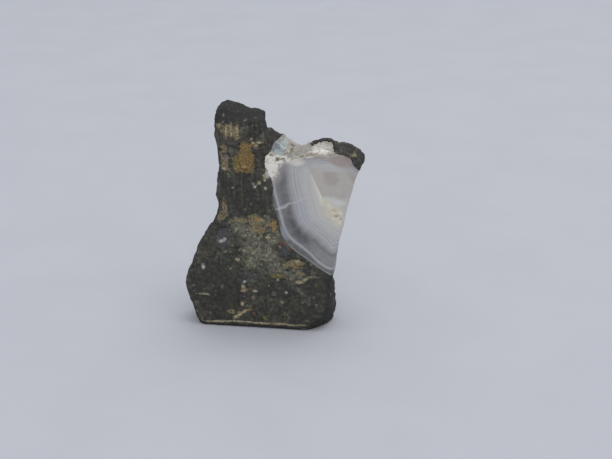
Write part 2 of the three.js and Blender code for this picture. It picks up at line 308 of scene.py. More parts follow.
@dataclass(frozen=True)
class Patch:
    """A stretched round spot on the front face, in millimetres, turned by degrees."""

    x: float
    z: float
    half_x: float
    half_z: float
    turn: float = 0.0

    def inside(self, tree: ShaderTree, at: Socket, depth: float) -> Value:
        """How far a point lies inside the spot's edge.

        Args:
            tree: the material's tree.
            at: coordinates, usually warped.
            depth: how far behind the front face the spot reaches, in millimetres.

        Returns:
            Millimetres, less than 0 outside.
        """
        node = tree.add(
            "ShaderNodeMapping",
            {"vector_type": "TEXTURE"},
            {
                "Vector": at,
                "Location": (self.x, FRONT, self.z),
                "Rotation": (0.0, math.radians(-self.turn), 0.0),
                "Scale": (self.half_x, depth, self.half_z),
            },
        )
        reach = tree.add("ShaderNodeVectorMath", {"operation": "LENGTH"}, {0: node.outputs[0]})
        return (1 - Value(tree, reach.outputs["Value"])) * min(self.half_x, self.half_z)

    def inside_at(self, corners: np.ndarray, depth: float) -> np.ndarray:
        """The same for many corners at once.

        Args:
            corners: rows of x, y and z in millimetres.
            depth: how far behind the front face the spot reaches, in millimetres.

        Returns:
            Millimetres for each corner.
        """
        turn = math.radians(self.turn)
        across, up = corners[:, 0] - self.x, corners[:, 2] - self.z
        along = (across * math.cos(turn) + up * math.sin(turn)) / self.half_x
        over = (up * math.cos(turn) - across * math.sin(turn)) / self.half_z
        reach = np.sqrt(along**2 + over**2 + ((corners[:, 1] - FRONT) / depth) ** 2)
        return (1 - reach) * min(self.half_x, self.half_z)


def spots(*rows: tuple[float, ...]) -> tuple[Patch, ...]:
    """Patches from rows of x, z, half_x, half_z and, where one is turned, its turn."""
    return tuple(Patch(*row) for row in rows)


def deepest(tree: ShaderTree, at: Socket, patches: Sequence[Patch], depth: float = 2.0) -> Value:
    """How far a point lies inside whichever of the patches holds it best.

    Args:
        tree: the material's tree.
        at: coordinates, usually warped.
        patches: the spots.
        depth: how far behind the front face they reach, in millimetres.

    Returns:
        Millimetres, less than 0 outside them all.
    """
    together = patches[0].inside(tree, at, depth)
    for patch in patches[1:]:
        together = together | patch.inside(tree, at, depth)
    return together


# Finishes


class RockTree(ShaderTree):
    """The rock's node tree, with the noises that every layer of its finish shares."""

    def __init__(self, name: str) -> None:
        """Makes each of them once.

        Args:
            name: the material's name.
        """
        super().__init__(name)
        self.wavy = self.warped(0.9, 0.16)
        self.zones = self.noise(5.0)
        self.clots = self.noise(2.6)
        self.grit = self.noise(1.05, 3.0, rough=0.65)
        self.fine = self.noise(0.45, rough=0.6)
        stretched = self.vector("MULTIPLY", self.at, (1.0, 0.1, 0.07))
        self.scratches = self.noise(0.5, 1.0, at=stretched)
        self.front = (self.y - FRONT).step(0.4, 0.1)


@dataclass(frozen=True)
class Stain:
    """Spots of one altered mineral. Their edges are ragged, because they follow the grains.

    Broad spots are held by the mesh, as how far inside them each corner lies. Small ones are worked
    out by the material.
    """

    name: str
    dark: Colour
    light: Colour
    strength: float
    patches: tuple[Patch, ...]
    ragged: float = 1.6  # how far the edge wanders, in millimetres
    soft: float = 0.16  # half the width over which it fades, in millimetres
    broad: bool = True

    def mark(self, tree: RockTree) -> None:
        """Lays the stain over the rock.

        Args:
            tree: the rock's tree.
        """
        depth = tree.held(self.name) if self.broad else deepest(tree, tree.wavy, self.patches)
        depth = depth + (tree.grit - 0.5) * self.ragged
        shade = tree.mix(tree.fine.step(0.36, 0.64), self.dark, self.light)
        tree.lay(depth.step(-self.soft, self.soft) * self.strength, shade)


BROWN_STAIN = Stain(
    "brown", seen(50, 47, 45), seen(78, 71, 66), 0.6,
    spots(
        (-9.6, 52.9, 3.0, 0.9), (-5.9, 52.9, 1.8, 0.5), (-12.5, 35.8, 0.7, 1.0),
        (-8.7, 24.2, 0.8, 0.9), (-4.7, 11.8, 1.2, 0.5), (-18.1, 3.6, 0.8, 0.9), (0.2, 2.2, 0.7, 0.5),
        (18.6, 50.0, 2.0, 0.5),
    ),
    ragged=3.0, soft=0.4,
)
SLATE_STAIN = Stain(
    "slate", seen(49, 50, 56), seen(81, 84, 91), 0.45,
    spots(
        (-12.5, 26.0, 1.9, 2.4), (-11.2, 28.0, 1.3, 0.5), (-9.9, 27.0, 0.5, 0.9),
        (-10.2, 34.0, 1.0, 0.8), (-3.0, 37.3, 0.9, 0.6), (-5.2, 15.6, 2.4, 0.9),
        (-8.0, 13.8, 0.6, 0.4), (3.8, 23.0, 1.3, 1.4), (6.0, 12.7, 1.8, 0.7), (21.6, 47.6, 0.7, 1.0),
    ),
    ragged=3.4, soft=0.5,
)
TAN_STAIN = Stain(
    "tan", seen(77, 70, 56), seen(124, 115, 91), 0.85,
    spots(
        (-12.9, 56.4, 0.9, 0.4), (-10.1, 55.3, 2.4, 1.5), (-8.3, 54.4, 0.8, 1.8),
        (-11.5, 46.2, 0.8, 1.7), (-11.5, 50.2, 0.8, 1.3), (-12.7, 48.9, 0.4, 0.8),
        (-11.9, 34.3, 0.7, 1.9, 6), (-13.2, 31.5, 1.1, 0.9, 30), (-3.8, 31.3, 2.4, 1.6, -12),
        (-3.4, 28.8, 2.4, 1.1), (-8.0, 31.0, 2.2, 0.6), (6.2, 19.6, 2.6, 1.1, 8),
        (8.0, 16.9, 0.9, 0.6), (-7.2, 11.3, 1.0, 0.6), (-8.5, 4.2, 1.4, 0.6, 40),
        (-10.9, 4.6, 0.9, 0.8), (13.6, 52.6, 1.2, 0.5), (21.8, 50.2, 0.8, 0.4),
    ),
)
PINK_STAIN = Stain(
    "pink", seen(94, 85, 82), seen(127, 114, 110), 0.5,
    spots(
        (-11.2, 48.2, 0.8, 0.8), (-10.3, 44.9, 0.7, 0.5), (-3.1, 51.0, 0.6, 0.5),
        (-1.3, 42.8, 0.6, 0.7), (-4.8, 9.3, 0.5, 0.5),
    ),
)
GREEN_STAIN = Stain(
    "green", seen(73, 82, 75), seen(106, 115, 103), 0.42,
    spots(
        (-6.9, 55.9, 0.5, 0.6), (-3.7, 56.8, 0.8, 0.3), (-2.2, 54.1, 0.9, 0.4),
        (-9.9, 50.0, 0.7, 1.0), (-1.5, 30.6, 0.7, 0.5), (5.5, 16.2, 0.6, 0.8), (7.0, 16.5, 0.5, 0.5),
        (10.9, 20.2, 0.9, 0.8), (-6.3, 6.5, 0.7, 0.4), (0.7, 10.6, 0.7, 0.8), (8.2, 11.2, 0.6, 0.4),
    ),
)
OCHRE_STAIN = Stain(
    "ochre", seen(84, 68, 40), seen(126, 103, 66), 0.9,
    spots(
        (-6.3, 51.2, 1.5, 1.0), (-6.1, 49.6, 1.5, 1.3), (-6.0, 47.9, 2.2, 2.0),
        (-6.6, 46.0, 2.4, 1.7), (-4.3, 51.8, 1.0, 0.3), (-2.8, 28.3, 0.6, 0.4),
        (-6.3, 5.4, 0.9, 0.4, 10), (6.9, 18.8, 1.0, 0.4), (1.5, 45.2, 0.3, 0.3),
    ),
    ragged=2.2, soft=0.3,
)
OLIVE_STAIN = Stain(
    "olive", seen(85, 80, 45), seen(118, 110, 68), 0.6,
    spots(
        (-8.7, 47.3, 0.8, 1.9), (-8.3, 44.7, 0.9, 0.5), (-4.6, 44.8, 0.9, 0.5),
        (-1.1, 45.3, 0.6, 0.4), (1.9, 15.7, 1.5, 0.7), (-1.9, 3.3, 0.8, 0.6), (12.2, 53.2, 1.0, 0.5),
    ),
    ragged=2.4, soft=0.35,
)
ORANGE_STAIN = Stain(
    "orange", seen(100, 80, 48), seen(146, 122, 82), 0.8,
    spots((1.0, 30.0, 0.7, 1.7), (-0.1, 30.3, 0.8, 0.35), (-2.9, 31.6, 1.0, 0.6)),
    ragged=1.6, soft=0.3,
)
SOOT_STAIN = Stain(
    "soot", seen(62, 46, 26), seen(88, 66, 38), 0.8,
    spots((-7.8, 46.6, 0.4, 0.5), (-6.2, 45.0, 0.9, 0.3), (-5.5, 49.0, 0.5, 0.3)),
    ragged=0.8,
)
RUST_STAIN = Stain(
    "rust", seen(66, 45, 42), seen(104, 63, 57), 0.75,
    spots(
        (2.7, 25.1, 1.3, 0.4), (5.3, 23.7, 0.5, 0.5), (-4.9, 4.5, 0.6, 0.4), (-8.1, 11.4, 0.4, 0.3),
    ),
    ragged=0.9,
)
CREAM_GRAINS = Stain(
    "cream_grains", seen(116, 109, 88), seen(168, 160, 134), 0.8,
    spots(
        (-4.6, 53.2, 0.35, 0.35), (-4.2, 52.3, 0.4, 0.25), (-2.5, 52.4, 0.9, 0.25),
        (-3.2, 51.6, 0.35, 0.25), (-11.0, 54.9, 0.16, 1.1), (-9.7, 55.2, 0.16, 1.2),
        (-8.2, 55.0, 0.2, 1.5), (-6.6, 45.8, 0.4, 0.3), (-1.2, 43.6, 0.5, 0.7),
        (-2.7, 41.7, 0.4, 0.5), (-1.3, 42.6, 0.3, 0.4), (-0.8, 26.7, 0.6, 0.3),
        (-9.0, 19.9, 0.6, 0.3), (-11.9, 45.1, 0.5, 0.3), (-7.5, 12.2, 0.4, 0.3),
        (-7.2, 11.0, 0.6, 0.3), (-4.5, 11.1, 0.6, 0.3), (-18.2, 9.3, 1.0, 0.24),
        (-9.8, 3.0, 0.6, 0.45), (-7.9, 7.1, 0.5, 0.55), (7.6, 14.4, 1.0, 0.45), (7.1, 20.3, 0.6, 0.4),
        (9.2, 15.3, 1.3, 0.24, 28), (-8.1, 4.3, 2.1, 0.28, 38),
    ),
    ragged=0.6, soft=0.24, broad=False,
)
WHITE_GRAINS = Stain(
    "white_grains", seen(160, 162, 164), seen(200, 200, 204), 0.62,
    spots(
        (-3.9, 40.5, 0.34, 0.34), (-1.2, 40.2, 0.28, 0.34), (-18.2, 17.3, 0.36, 0.7),
        (-7.1, 13.6, 0.38, 0.4), (4.0, 11.2, 0.3, 0.3), (-12.9, 25.0, 0.8, 0.45),
        (-12.1, 25.7, 0.4, 0.4), (-0.5, 44.6, 0.6, 1.3),
    ),
    ragged=0.6, soft=0.28, broad=False,
)
# A pale line along the foot of the sawn front. It is partly a worn edge and partly a painted
# highlight where the edge catches the light.
WORN_EDGE_AND_HIGHLIGHT = Stain(
    "worn_edge", seen(112, 106, 90), seen(170, 162, 138), 0.75,
    spots(
        (-14.3, 1.45, 3.6, 0.34, 4), (-8.9, 1.75, 3.0, 0.24), (-2.9, 1.65, 3.2, 0.28),
        (5.7, 1.6, 1.6, 0.2), (8.4, 1.8, 1.2, 0.16),
    ),
    ragged=0.35, broad=False,
)
# Its pinker stretches, which are also partly worn edge and partly painted highlight.
WORN_EDGE_AND_HIGHLIGHT_PINK = Stain(
    "worn_edge_pink", seen(118, 102, 88), seen(168, 150, 132), 0.75,
    spots((2.4, 1.75, 2.3, 0.32), (-6.1, 1.8, 0.8, 0.22)),
    ragged=0.3, broad=False,
)
STAINS = (
    BROWN_STAIN, SLATE_STAIN, TAN_STAIN, PINK_STAIN, GREEN_STAIN, OCHRE_STAIN, OLIVE_STAIN,
    ORANGE_STAIN, SOOT_STAIN, RUST_STAIN, CREAM_GRAINS, WHITE_GRAINS, WORN_EDGE_AND_HIGHLIGHT, WORN_EDGE_AND_HIGHLIGHT_PINK,
)
ZONES = {
    "light_zone": spots((-1.8, 23.6, 7.0, 6.6), (-5.4, 30.0, 6.4, 2.8), (3.4, 17.6, 6.8, 2.8, -22)),
    "dark_zone": spots(
        (-15.0, 12.4, 7.6, 7.2), (-12.4, 6.0, 7.0, 5.0), (-6.0, 38.4, 8.0, 5.6),
        (-6.4, 59.6, 8.0, 2.4), (-2.0, 48.2, 1.8, 2.6), (9.4, 5.0, 4.6, 3.0), (11.6, 12.4, 4.0, 2.4),
        (4.4, 22.6, 2.8, 1.7, -35), (2.6, 11.6, 5.0, 2.6),
    ),
}


@dataclass(frozen=True)
class AndesiteFinish:
    """Dark fine-grained volcanic rock, with altered grains and stains on its sawn front."""

    tones: tuple[tuple[float, Colour], ...] = (
        (0.0, seen(28, 29, 30)), (0.25, seen(44, 45, 43)), (0.5, seen(66, 67, 61)),
        (0.75, seen(94, 94, 85)), (1.0, seen(140, 138, 123)),
    )
    cream: Colour = seen(158, 152, 128)
    grey_green: Colour = seen(122, 129, 112)
    black: Colour = seen(34, 35, 33)
    olive_tint: Colour = (1.04, 1.0, 0.84, 1.0)
    plum_tint: Colour = (1.05, 0.96, 0.99, 1.0)

    def dress(self) -> bpy.types.Material:
        """Makes the rock's material.

        Returns:
            The material.
        """
        tree = RockTree("andesite")
        dark = tree.held("dark_zone") - (tree.zones - 0.5) * 5.0
        dark = dark.step(-1.2, 1.2) * tree.front
        light = tree.held("light_zone") + (tree.zones - 0.5) * 6.0
        light = light.step(-1.2, 1.6) * tree.front * (1 - dark)
        self._ground(tree, light, dark)
        self._crystals(tree, light)
        self._scratched(tree)
        for stain in STAINS:
            stain.mark(tree)
        tree.finish(0.7 + tree.fine * 0.25, self._height(tree), gloss=0.35)
        return tree.material

    def _ground(self, tree: RockTree, light: Value, dark: Value) -> None:
        """The groundmass: clots and grains from black to khaki, some olive and some plum.

        Args:
            tree: the rock's tree.
            light: where the front is pale and granular.
            dark: where the front is darker and more even than elsewhere.
        """
        sides = 1 - tree.front
        unsawn_darkening = (tree.noise(7.0) - 0.5) * 0.7 - 0.22
        level = 0.34 + light * 0.26 - dark * 0.05 + unsawn_darkening * sides - tree.z.step(56.0, 58.5) * 0.2
        speckle = (tree.clots - 0.5) * 0.7 + (tree.grit - 0.5) * 1.2 + (tree.fine - 0.5) * 0.5
        tone = level + speckle * (1 - dark * 0.4)
        ramp = tree.add("ShaderNodeValToRGB", {"stops": self.tones}, {0: tone})
        hue = tree.noise(2.3, at=tree.wavy)
        tree.colour = ramp.outputs[0]
        tree.lay(hue.step(0.5, 0.62) * 0.8, self.olive_tint, "MULTIPLY")
        tree.lay(hue.step(0.48, 0.38) * 0.9, self.plum_tint, "MULTIPLY")

    def _crystals(self, tree: RockTree, light: Value) -> None:
        """Small angular crystals, pale ones mostly where the rock is pale, and black ones.

        Args:
            tree: the rock's tree.
            light: where the front is pale and granular.
        """
        chance, kind, depth = tree.cell_numbers(0.6, tree.warped(0.7, 0.2))
        pale = (chance + light * 0.12 + 0.005).step(0.96, 1.0) * (0.6 + tree.front * 0.4)
        shade = tree.mix(kind, self.grey_green, self.cream)
        tree.lay(pale * (0.12 + depth * 0.4), shade)
        black = chance.step(0.15, 0.1)
        tree.lay(black * (0.25 + depth * 0.4), self.black)

    def _scratched(self, tree: RockTree) -> None:
        """Faint upright saw marks on the column's front.

        Args:
            tree: the rock's tree.
        """
        column = tree.z.step(30.0, 37.0) * tree.front
        tree.lay(tree.scratches.step(0.52, 0.64) * column * 0.06, self.cream)
        tree.lay(tree.scratches.step(0.48, 0.36) * column * 0.16, self.black)

    @staticmethod
    def _height(tree: RockTree) -> Value:
        """The surface's height, smooth where it is sawn and rough where it is broken.

        Args:
            tree: the rock's tree.

        Returns:
            Millimetres.
        """
        rough = tree.grit * 0.1 + tree.fine * 0.08
        sawn = tree.fine * 0.03 + tree.scratches * 0.03
        return rough + (sawn - rough) * tree.front + tree.noise(0.2, 1.0) * 0.02


@dataclass(frozen=True)
class AgateFinish:
    """Banded chalcedony. Its bands follow attributes that give distances in millimetres."""

    growth: str  # from the bright line near the cavity's wall, inwards
    rind: str  # from the rock
    veil: str  # from the quartz crust
    start: float = -2.0  # the ramp's first and last growth, in millimetres
    end: float = 20.0
    stops: tuple[tuple[float, Colour], ...] = (
        (-2.0, seen(84, 85, 88)), (-0.9, seen(88, 89, 92)), (-0.5, seen(98, 100, 104)),
        (-0.22, seen(142, 144, 149)), (0.12, seen(146, 148, 153)), (0.38, seen(112, 114, 119)),
        (0.9, seen(93, 95, 100)), (1.6, seen(87, 88, 93)), (2.3, seen(77, 77, 83)),
        (2.8, seen(77, 77, 83)), (3.3, seen(87, 87, 93)), (3.8, seen(107, 107, 113)),
        (4.4, seen(126, 127, 133)), (5.4, seen(147, 148, 154)), (6.6, seen(151, 152, 158)),
        (7.6, seen(158, 159, 163)), (9.4, seen(164, 165, 167)), (10.6, seen(169, 169, 171)),
        (12.0, seen(170, 169, 168)), (20.0, seen(167, 165, 164)),
    )
    # The dark band's lighter shade. It is partly the band's own tone and partly painted light shining
    # through thin agate.
    thin: Colour = seen(130, 131, 135)
    outer_line: Colour = seen(142, 143, 144)
    milky: Colour = seen(130, 135, 143)
    ice: Colour = seen(172, 174, 180)
    dusk: Colour = seen(122, 122, 128)
    blue: Colour = seen(148, 152, 167)
    blush: Colour = seen(152, 142, 142)
    rose_brown: Colour = seen(136, 125, 121)
    rose_grey: Colour = seen(155, 151, 151)
    white: Colour = seen(198, 197, 190)
    snow: Colour = seen(180, 184, 187)
    cream: Colour = seen(182, 179, 165)
    beige: Colour = seen(178, 166, 152)
    brown: Colour = seen(116, 98, 62)
    wedge_top: Point = (10.6, 44.8)
    wedge_way: Point = (0.913, 0.407)  # the direction straight across the wedge

    def dress(self) -> bpy.types.Material:
        """Makes the agate's material.

        Returns:
            The material.
        """
        tree = ShaderTree("banded_agate")
        growth = tree.held(self.growth)
        growth = growth + (tree.noise(3.2, 1.0) - 0.5) * 0.4 * growth.step(0.3, 3.0)
        growth = growth + tree.z.step(27.0, 24.0) * (growth.step(1.5, 3.0) * 0.5 - 0.15)
        self._bands(tree, growth)
        self._rim(tree, growth)
        self._below_crust(tree, growth)
        self._heart(tree)
        druse, pits = self._druse(tree)
        self._crack(tree)
        tree.lay(tree.noise(1.6, 3.0).step(0.42, 0.66) * 0.07, self.white)
        height = tree.noise(0.5) * 0.008 + pits * -0.15 + tree.noise(6.0, 1.0) * 0.05
        rough = 0.36 + tree.noise(1.2) * 0.14 + druse * 0.2
        tree.finish(rough, height, gloss=0.45, glow=0.3, reach=(1.0, 0.95, 0.9))
        return tree.material

    def _bands(self, tree: ShaderTree, growth: Value) -> None:
        """The broad bands by growth, and fine ones a few tenths of a millimetre apart on them.

        Args:
            tree: the agate's tree.
            growth: how far in the bands a point lies.
        """
        length = self.end - self.start
        stops = [((place - self.start) / length, colour) for place, colour in self.stops]
        ramp = tree.add("ShaderNodeValToRGB", {"stops": stops}, {0: (growth - self.start) / length})
        tree.colour = ramp.outputs[0]
        # The dark band is lighter towards the right and the top. This is partly its own tone and
        # partly painted light shining through where the agate is thin.
        thin = growth.step(0.4, 1.0) * growth.step(3.8, 3.0)
        along = tree.z.step(30.0, 36.0) * 0.24 + tree.x.step(8.5, 12.5) * 0.7
        tree.lay(thin * along, self.thin)
        blue = spots((8.3, 34.4, 1.7, 3.8, 12), (11.4, 30.4, 2.4, 1.4, -40))
        blue = deepest(tree, tree.at, blue, THROUGH).step(-0.8, 1.2)
        tree.lay(blue * 0.6, self.blue)
        sockets = {"W": growth * 2.3, "Scale": 1.0, "Detail": 0.6}
        ripple = tree.add("ShaderNodeTexNoise", {"noise_dimensions": "1D"}, sockets)
        fine = Value(tree, ripple.outputs[0])
        banded = growth.step(3.0, 4.4) * growth.step(12.5, 8.5)
        tree.lay(fine.step(0.48, 0.8) * banded * 0.34, self.ice)
        tree.lay(fine.step(0.52, 0.2) * banded * 0.3, self.dusk)

    def _rim(self, tree: ShaderTree, growth: Value) -> None:
        """Outside the bright line: a second line against the rock below, and milky corners.

        Args:
            tree: the agate's tree.
            growth: how far in the bands a point lies.
        """
        outside = growth.step(-0.2, -0.5)
        line = tree.held(self.rind).step(0.65, 0.45) * tree.z.step(26.0, 23.5) * outside
        tree.lay(line * 0.6, self.outer_line)
        corner = spots((3.7, 28.2, 1.5, 2.0, 20), (1.2, 41.6, 0.9, 1.6))
        corner = deepest(tree, tree.at, corner, THROUGH).step(-0.7, 0.6)
        tree.lay(corner * growth.step(0.3, -0.1) * 0.65, self.milky)

    def _below_crust(self, tree: ShaderTree, growth: Value) -> None:
        """The dark band fades to a blush below the crust, whose white spreads a little way in.

        Args:
            tree: the agate's tree.
            growth: how far in the bands a point lies.
        """
        ragged = (tree.noise(0.9, 3.0, rough=0.6) - 0.5) * 2.4
        veil = tree.held(self.veil)
        blush = veil.step(3.0, 0.4) * growth.step(5.0, 3.4)
        tree.lay(blush * 0.6, self.blush)
        white = (veil + ragged).step(1.0, 0.1)
        spread = Patch(6.9, 47.6, 1.8, 0.9, 6).inside(tree, tree.at, 8.0) + ragged * 0.3
        white = white | spread.step(-0.5, 0.5)
        tree.lay(white * 0.7, self.white)

    def _heart(self, tree: ShaderTree) -> None:
        """Rose-grey chalcedony in the middle, with a white wedge along its left-hand side.

        Args:
            tree: the agate's tree.
        """
        soft = tree.warped(4.0, 0.5)
        roof = spots((18.2, 48.5, 3.9, 1.7, -12), (13.4, 49.3, 2.2, 0.6))
        roof = deepest(tree, soft, roof, THROUGH).step(-0.5, 0.7)
        tree.lay(roof * 0.75, self.rose_brown)
        right, up = tree.x - self.wedge_top[0], tree.z - self.wedge_top[1]
        across = right * self.wedge_way[0] + up * self.wedge_way[1]
        along = right * self.wedge_way[1] - up * self.wedge_way[0]
        under_roof = tree.z + (tree.x - 10.0) * 0.1
        heart = across.step(-0.1, 0.25) * under_roof.step(47.6, 45.6) * tree.z.step(37.6, 39.2)
        clouds = tree.noise(4.0, at=soft)
        tree.lay(heart * 0.75, self.rose_grey)
        tree.lay(heart * clouds.step(0.45, 0.62) * 0.35, self.rose_brown)
        width = 0.3 + along * 0.14
        wedge = (across + width).step(-0.3, 1.3) * across.step(0.16, -0.1)
        wedge = wedge * along.step(-0.3, 1.2) * along.step(9.6, 8.0)
        tree.lay(wedge * 0.75, self.white)

    def _druse(self, tree: ShaderTree) -> tuple[Value, Value]:
        """The cream sugary middle below the heart, with its beige spots and brown pit.

        Args:
            tree: the agate's tree.

        Returns:
            Where the druse is, and where its pits are.
        """
        ragged = tree.warped(0.9, 0.5)
        snow = spots((15.2, 38.1, 1.5, 0.7), (17.4, 37.2, 1.6, 0.7))
        tree.lay(deepest(tree, ragged, snow).step(-0.5, 0.4) * 0.7, self.snow)
        cream = spots((14.6, 36.9, 1.5, 1.0, -40), (16.4, 34.6, 2.2, 1.8), (17.6, 32.3, 1.2, 1.3))
        druse = deepest(tree, ragged, cream).step(-0.5, 0.5)
        tree.lay(druse * 0.75, self.cream)
        white = spots(
            (15.4, 36.1, 0.8, 0.35, -35), (18.1, 34.4, 0.5, 0.4), (17.9, 31.9, 0.4, 0.5),
            (16.3, 32.7, 0.5, 0.3),
        )
        tree.lay(deepest(tree, ragged, white).step(-0.25, 0.3) * 0.6, self.white)
        beige = spots((16.5, 35.2, 0.8, 0.5), (15.1, 34.6, 0.6, 0.4), (16.2, 33.6, 0.5, 0.4))
        tree.lay(deepest(tree, ragged, beige).step(-0.2, 0.3) * 0.7, self.beige)
        pits = spots((17.05, 33.35, 0.42, 0.36), (18.3, 32.9, 0.25, 0.2))
        pits = deepest(tree, ragged, pits).step(-0.1, 0.15)
        tree.lay(pits * 0.6, self.brown)
        return druse, pits

    def _crack(self, tree: ShaderTree) -> None:
        """A healed crack across the bands, widest near the rim.

        Args:
            tree: the agate's tree.
        """
        wavy = tree.warped(1.6, 0.25)
        line = spots(
            (2.9, 35.1, 1.5, 0.16, 14), (4.5, 36.1, 0.9, 0.14, 38), (6.9, 37.0, 1.9, 0.12, 24),
            (9.2, 38.2, 1.3, 0.1, 16),
        )
        crack = deepest(tree, wavy, line).step(-0.12, 0.06)
        tree.lay(crack * 0.65, self.ice)
        haze = Patch(3.4, 35.5, 1.3, 0.5, 30).inside(tree, wavy, 2.0).step(-0.4, 0.3)
        tree.lay(haze * 0.3, self.ice)


@dataclass(frozen=True)
class CrustFinish:
    """White sugary quartz, greyer in the middle, with stained hollows and a clear bluish corner."""

    white: Colour = seen(203, 202, 199)
    beige: Colour = seen(168, 166, 160)
    grey: Colour = seen(138, 136, 134)
    blush: Colour = seen(172, 154, 144)
    slate: Colour = seen(112, 119, 128)
    teal: Colour = seen(160, 175, 177)
    plum: Colour = seen(134, 129, 139)
    brown: Colour = seen(108, 98, 64)
    # How much darker the faces behind the front are painted, as painted shade, as a multiplier.
    unsawn_darkening: Colour = (0.64, 0.64, 0.63, 1.0)
    white_zone: tuple[Patch, ...] = spots(
        (-0.2, 46.4, 2.4, 3.6), (2.6, 48.2, 1.8, 1.2), (5.2, 47.8, 1.5, 0.7), (13.0, 50.6, 1.9, 0.6),
    )
    pits: tuple[Patch, ...] = spots(
        (1.9, 48.0, 0.45, 0.35), (3.2, 48.3, 0.55, 0.3), (8.2, 49.2, 0.6, 0.35),
        (5.6, 50.2, 0.5, 0.4), (-0.9, 45.2, 0.4, 0.4), (0.5, 49.2, 0.5, 0.3),
    )

    def dress(self) -> bpy.types.Material:
        """Makes the crust's material.

        Returns:
            The material.
        """
        tree = ShaderTree("white_quartz_crust")
        ragged = tree.warped(1.0, 0.7)
        grain, kind, _ = tree.cell_numbers(0.55, tree.warped(0.6, 0.15))
        clouds = tree.noise(1.8, 3.0, rough=0.6)
        sugar = (clouds - 0.5) * 1.6 + (grain - 0.5) * 0.35
        tree.colour = tree.mix((sugar + 0.5).step(0.1, 0.9), self.grey, self.beige)
        zone = deepest(tree, ragged, self.white_zone, 6.0).step(-0.8, 0.8)
        tree.lay((zone + sugar * 0.5).step(0.15, 0.85), self.white)
        tree.lay(clouds.step(0.42, 0.3) * (0.3 + kind * 0.5), self.blush)
        slate = Patch(1.8, 51.4, 1.6, 1.4, -30).inside(tree, ragged, 9.0).step(-0.7, 0.5)
        tree.lay(slate * 0.85, self.slate)
        teal = deepest(tree, ragged, spots((2.2, 50.2, 1.0, 0.6), (3.4, 51.7, 0.8, 0.8)), 9.0)
        tree.lay(teal.step(-0.4, 0.3) * 0.75, self.teal)
        plum = deepest(tree, ragged, spots((7.6, 50.6, 0.9, 0.7), (4.0, 47.1, 0.6, 0.8)), 6.0)
        tree.lay(plum.step(-0.5, 0.4) * 0.7, self.plum)
        pits = (deepest(tree, ragged, self.pits, 3.0) + (grain - 0.5) * 0.2).step(-0.1, 0.15)
        tree.lay(pits * 0.8, self.brown)
        # Painted shade: the crust's faces behind the sawn front catch more of the overhead light, so
        # they are darkened.
        behind = (tree.y - FRONT).step(0.05, 0.8)
        tree.lay(behind * (0.85 + sugar * 0.4), self.unsawn_darkening, "MULTIPLY")
        height = tree.cells(0.4) * -0.12 + grain * 0.06 + tree.noise(0.25) * 0.05 - pits * 0.2
        tree.finish(0.5 + grain * 0.2, height, gloss=0.45, glow=0.2)
        return tree.material


@dataclass(frozen=True)
class FloorFinish:
    """Plain pale bluish-grey card."""

    card: Colour = (0.40, 0.41, 0.44, 1.0)
    fleck: Colour = (0.39, 0.40, 0.43, 1.0)

    def dress(self) -> bpy.types.Material:
        """Makes the floor's material.

        Returns:
            The material.
        """
        tree = ShaderTree("pale_card")
        tree.colour = tree.mix(tree.noise(30.0).step(0.35, 0.65), self.card, self.fleck)
        tree.finish(0.8, tree.noise(1.0, 1.0) * 0.01, gloss=0.2)
        return tree.material


# Shaping the pieces


class Surface(Enum):
    """Which part of a piece a relief is given to."""

    BROKEN = "broken"
    SAWN = "sawn"
    EVERYWHERE = ""


class Grain(Enum):
    """The kind of unevenness of a relief."""

    LUMPS = "CLOUDS"
    CRYSTALS = "VORONOI"


@dataclass(frozen=True)
class Relief:
    """Unevenness of one size, in millimetres, pressed into a surface."""

    grain: Grain
    size: float
    height: float
    where: Surface = Surface.BROKEN

    def texture(self) -> bpy.types.Texture:
        """Makes the procedural texture that drives it.

        Returns:
            The texture.
        """
        texture = bpy.data.textures.new(f"{self.grain.name.lower()}_{self.size}", self.grain.value)
        texture.noise_scale = self.size * MM
        if self.grain is Grain.LUMPS:
            texture.noise_depth = 2
        else:
            texture.noise_intensity = 1.0
        return texture


def select_only(obj: bpy.types.Object) -> None:
    """Makes an object the active and only selected one.

    Args:
        obj: the object.
    """
    bpy.ops.object.select_all(action="DESELECT")
    obj.select_set(True)
    bpy.context.view_layer.objects.active = obj


def corners_of(obj: bpy.types.Object) -> np.ndarray:
    """Where a mesh's corners are.

    Args:
        obj: the mesh object.

    Returns:
        A row of x, y and z in millimetres for each corner.
    """
    flat = np.empty(len(obj.data.vertices) * 3)
    obj.data.vertices.foreach_get("co", flat)
    return flat.reshape(-1, 3) / MM


def eased(low: float, high: float, value: np.ndarray) -> np.ndarray:
    """Smooth step from 0 at low to 1 at high."""
    share = np.clip((value - low) / (high - low), 0, 1)
    return share * share * (3 - 2 * share)


